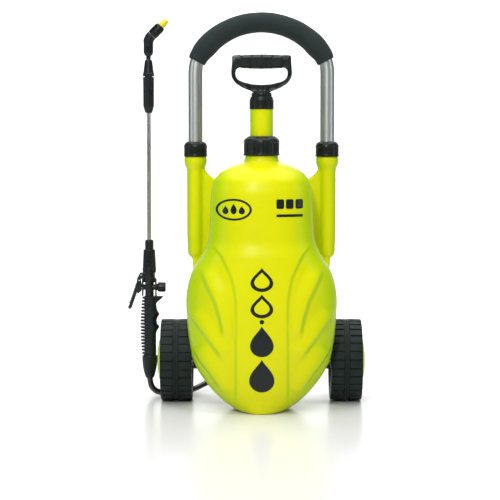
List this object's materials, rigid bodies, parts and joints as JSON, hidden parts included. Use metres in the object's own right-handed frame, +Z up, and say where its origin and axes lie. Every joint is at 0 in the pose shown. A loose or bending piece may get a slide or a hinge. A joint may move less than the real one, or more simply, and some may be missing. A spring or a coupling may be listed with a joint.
{
  "type": "wheeled sprayer cart",
  "caption": "Hand-pumped pressure sprayer on wheels, with a moulded tank, telescopic bow handle, lift-out pump and a separate telescopic spray lance on a hose.",
  "frame": {"origin": "on the floor below the pump's axis, on the tank's base", "axes": "+Z up, +Y to the rear, where the wheels are, +X to the right seen from the front"},
  "size_m": [0.555, 0.4693, 0.8968],
  "materials": {
    "tank": "glossy blow-moulded polyethylene",
    "barrel": "satin moulded plastic",
    "black_plastic": "satin moulded plastic",
    "lance_plastic": "satin moulded plastic",
    "aluminium": "drawn and anodised",
    "lance_tube": "polished tube",
    "steel": "zinc plated",
    "foam": "closed-cell foam",
    "rubber": "matte rubber",
    "hose": "glossy extruded hose",
    "tyre": "moulded tread",
    "wheel_core": "moulded",
    "bush": "natural nylon",
    "hubcap": "glossy moulded",
    "nozzle": "glossy moulded"
  },
  "bodies": {
    "root": {"tank_shell": "tank", "handle_columns": "tank", "column_webs": "tank", "axle_carrier": "black_plastic", "axle_fasteners": "steel", "axle": "steel", "handle_collets": "black_plastic", "outlet_fitting": "black_plastic", "outlet_nut": "black_plastic", "outlet_strainer": "black_plastic", "relief_valve_body": "black_plastic", "relief_spring": "steel", "neck_gasket": "rubber", "hose_supply_run": "hose", "hose_coil": "hose", "hose_lance_run": "hose", "hose_tie": "rubber"},
    "handle": {"handle_bow": "aluminium", "handle_foam": "foam", "handle_end_plugs": "black_plastic"},
    "left_nut": {"left_clamp_nut": "black_plastic"},
    "right_nut": {"right_clamp_nut": "black_plastic"},
    "pump": {"pump_barrel": "barrel", "pump_head_cap": "black_plastic", "foot_cage": "black_plastic", "foot_valve": "rubber"},
    "neck_nut": {"neck_nut": "black_plastic"},
    "plunger": {"pump_rod": "steel", "piston": "black_plastic", "piston_seal": "rubber", "handle_ferrule": "black_plastic", "pump_handle": "black_plastic"},
    "left_wheel": {"left_tyre": "tyre", "left_rim": "wheel_core", "left_bush": "bush", "left_hubcap": "hubcap"},
    "right_wheel": {"right_tyre": "tyre", "right_rim": "wheel_core", "right_bush": "bush", "right_hubcap": "hubcap"},
    "relief_pin": {"relief_valve_pin": "hubcap"},
    "lance": {"lance_grip": "lance_plastic", "grip_strainer": "lance_plastic", "tail_nut": "lance_plastic", "valve_body": "lance_plastic", "trigger_pin": "steel", "cone_sleeve": "lance_plastic", "tube_collar": "lance_plastic", "outer_tube": "lance_tube", "clamp_sleeve": "lance_plastic", "valve_spring": "steel"},
    "trigger": {"trigger": "lance_plastic"},
    "valve_pin": {"valve_pin": "steel"},
    "valve_cap": {"valve_cap": "lance_plastic"},
    "lance_nut": {"lance_clamp_nut": "lance_plastic"},
    "lance_end": {"inner_tube": "lance_tube", "lance_elbow": "lance_plastic", "nozzle_nut": "lance_plastic", "nozzle_swirl": "lance_plastic"},
    "nozzle": {"nozzle_tip": "nozzle"}
  },
  "joints": [
    {"name": "handle_slide", "type": "slide", "parent": "root", "child": "handle", "axis": [0, 0, 1], "range_m": [-0.15, 0]},
    {"name": "left_nut_turn", "type": "hinge", "parent": "root", "child": "left_nut", "pos_m": [-0.151, 0.07, 0.585], "axis": [0, 0, 1], "range_deg": [0, 180]},
    {"name": "right_nut_turn", "type": "hinge", "parent": "root", "child": "right_nut", "pos_m": [0.151, 0.07, 0.585], "axis": [0, 0, 1], "range_deg": [0, 180]},
    {"name": "pump_lift", "type": "slide", "parent": "root", "child": "pump", "axis": [0, 0, 1], "range_m": [0, 0.55]},
    {"name": "neck_nut_turn", "type": "hinge", "parent": "pump", "child": "neck_nut", "pos_m": [0, 0, 0.59], "axis": [0, 0, 1], "range_deg": [0, 360]},
    {"name": "pump_stroke", "type": "slide", "parent": "pump", "child": "plunger", "axis": [0, 0, 1], "range_m": [0, 0.28]},
    {"name": "left_wheel_spin", "type": "hinge", "parent": "root", "child": "left_wheel", "pos_m": [-0.196, 0.095, 0.095], "axis": [1, 0, 0], "continuous": true},
    {"name": "right_wheel_spin", "type": "hinge", "parent": "root", "child": "right_wheel", "pos_m": [0.196, 0.095, 0.095], "axis": [1, 0, 0], "continuous": true},
    {"name": "relief_lift", "type": "slide", "parent": "root", "child": "relief_pin", "axis": [0, 0, 1], "range_m": [0, 0.004], "stiffness_N_per_m": 300, "springref_m": -0.01, "deforming": ["relief_spring"]},
    {"name": "lance_lift", "type": "slide", "parent": "root", "child": "lance", "axis": [0, 0, 1], "range_m": [0, 0.3]},
    {"name": "trigger_squeeze", "type": "hinge", "parent": "lance", "child": "trigger", "pos_m": [-0.282, 0.15, 0.288], "axis": [0, -1, 0], "range_deg": [0, 11], "stiffness_Nm_per_rad": 2, "springref_deg": -8.59},
    {"name": "valve_pin_push", "type": "slide", "parent": "lance", "child": "valve_pin", "axis": [1, 0, 0], "range_m": [0, 0.006], "deforming": ["valve_spring"]},
    {"name": "valve_cap_turn", "type": "hinge", "parent": "lance", "child": "valve_cap", "pos_m": [-0.233, 0.15, 0.259], "axis": [1, 0, 0], "range_deg": [0, 360]},
    {"name": "lance_nut_turn", "type": "hinge", "parent": "lance", "child": "lance_nut", "pos_m": [-0.263, 0.15, 0.77], "axis": [0, 0, 1], "range_deg": [0, 180]},
    {"name": "lance_extend", "type": "slide", "parent": "lance", "child": "lance_end", "axis": [0, 0, 1], "range_m": [0, 0.28]},
    {"name": "nozzle_turn", "type": "hinge", "parent": "lance_end", "child": "nozzle", "pos_m": [-0.263, 0.15, 0.84], "axis": [0.7071, 0, 0.7071], "range_deg": [0, 270]}
  ],
  "couplings": [
    {"joint": "valve_pin_push", "follows": "trigger_squeeze", "m_per_rad": 0.029}
  ]
}
